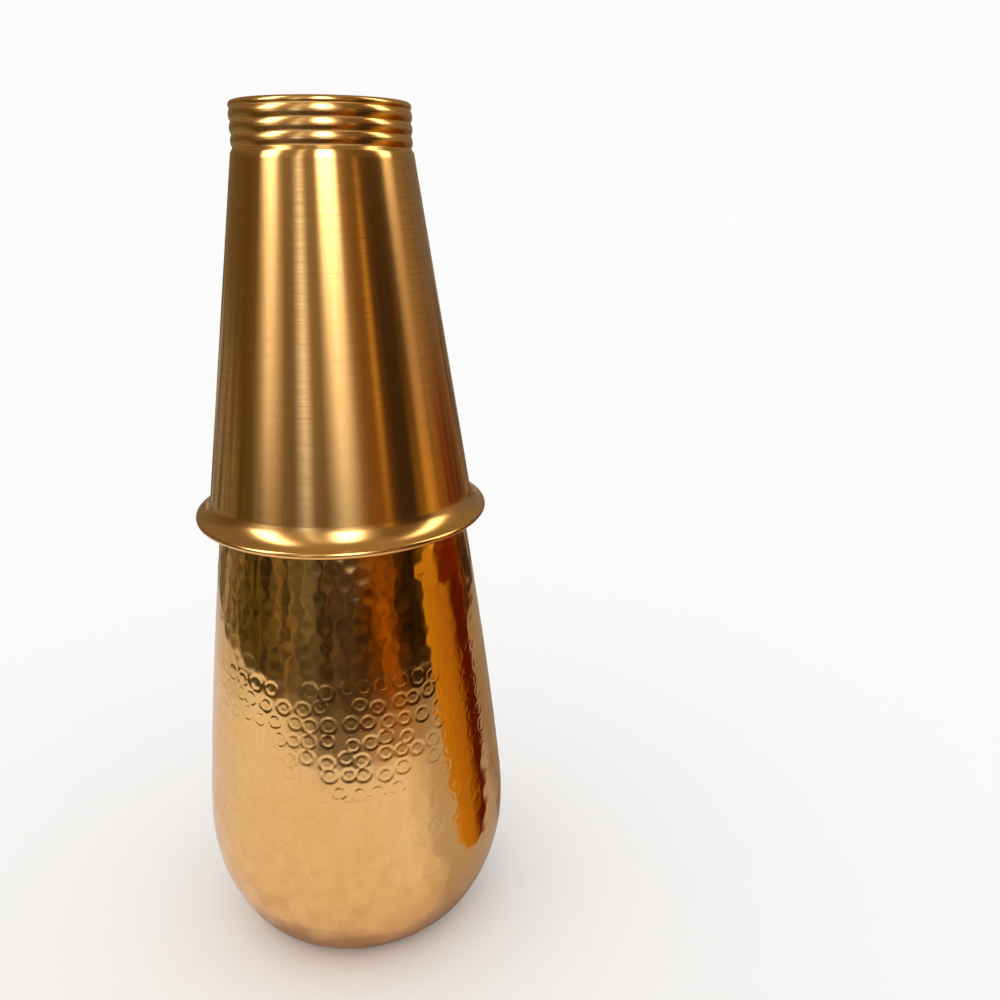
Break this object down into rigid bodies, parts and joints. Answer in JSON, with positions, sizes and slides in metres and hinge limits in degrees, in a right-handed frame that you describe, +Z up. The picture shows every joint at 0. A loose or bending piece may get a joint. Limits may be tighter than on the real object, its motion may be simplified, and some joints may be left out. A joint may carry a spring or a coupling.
{
  "type": "copper water jug",
  "caption": "Hammered copper water jug with a round belly, tapering wall and narrow neck, capped by an inverted brushed copper tumbler with a beaded foot and rolled lip.",
  "frame": {"origin": "centre of the flat ring that the jug stands on", "axes": "+Z up along the jug's axis, which every piece is turned about; X and Y are free directions across it"},
  "size_m": [0.1016, 0.1016, 0.2665],
  "materials": {
    "hammered_copper": "hand-hammered and mirror-polished copper, golden lacquer tone",
    "polished_copper": "spun and polished copper",
    "brushed_copper": "copper with fine brushing round the axis, satin; beads and foot polished",
    "copper_wire": "drawn copper wire inside the rolled edges"
  },
  "bodies": {
    "jug": {"jug_bowl": "hammered_copper", "jug_shell": "hammered_copper", "jug_neck": "polished_copper", "neck_rim_wire": "copper_wire"},
    "tumbler": {"tumbler_wall": "brushed_copper", "tumbler_base": "brushed_copper", "tumbler_lip_wire": "copper_wire"}
  },
  "joints": [
    {"name": "tumbler_lift", "type": "slide", "parent": "jug", "child": "tumbler", "axis": [0, 0, 1], "range_m": [0, 0.13]}
  ]
}
